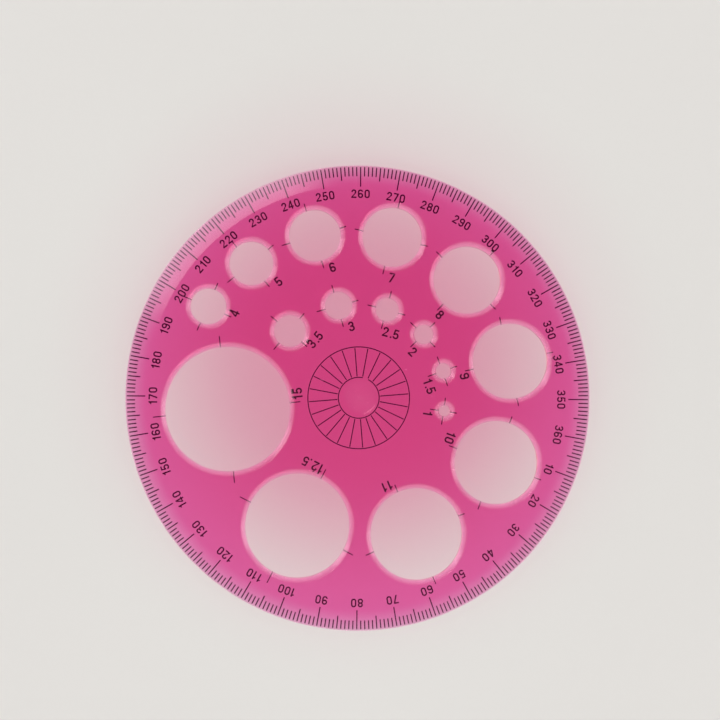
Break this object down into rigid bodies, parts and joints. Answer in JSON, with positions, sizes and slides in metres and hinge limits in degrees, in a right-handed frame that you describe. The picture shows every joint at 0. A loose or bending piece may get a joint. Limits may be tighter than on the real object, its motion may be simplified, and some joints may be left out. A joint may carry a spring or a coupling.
{
  "type": "circle template",
  "caption": "Round see-through drawing template with graded circle cut-outs, a full-circle degree scale around its bevelled edge and a spoked centre figure.",
  "frame": {"origin": "centre of the disc, on the printed face that lies on the paper", "axes": "+Z out of the front face, from which the figures are read; +X towards the 0 and 360 mark of the scale, whose degrees run clockwise as seen from +Z"},
  "size_m": [0.116, 0.116, 0.0015],
  "materials": {
    "tinted_plastic": "clear pink, polished mould finish",
    "black_ink": "thin screen-printed ink, matt"
  },
  "bodies": {
    "root": {"plate": "tinted_plastic", "scale_marks_1deg": "black_ink", "scale_marks_5deg": "black_ink", "scale_marks_10deg": "black_ink", "scale_numerals": "black_ink", "centre_rings": "black_ink", "centre_spokes": "black_ink", "circle_15_print": "black_ink", "circle_12_5_print": "black_ink", "circle_11_print": "black_ink", "circle_10_print": "black_ink", "circle_9_print": "black_ink", "circle_8_print": "black_ink", "circle_7_print": "black_ink", "circle_6_print": "black_ink", "circle_5_print": "black_ink", "circle_4_print": "black_ink", "circle_3_5_print": "black_ink", "circle_3_print": "black_ink", "circle_2_5_print": "black_ink", "circle_2_print": "black_ink", "circle_1_5_print": "black_ink", "circle_1_print": "black_ink"}
  },
  "joints": []
}
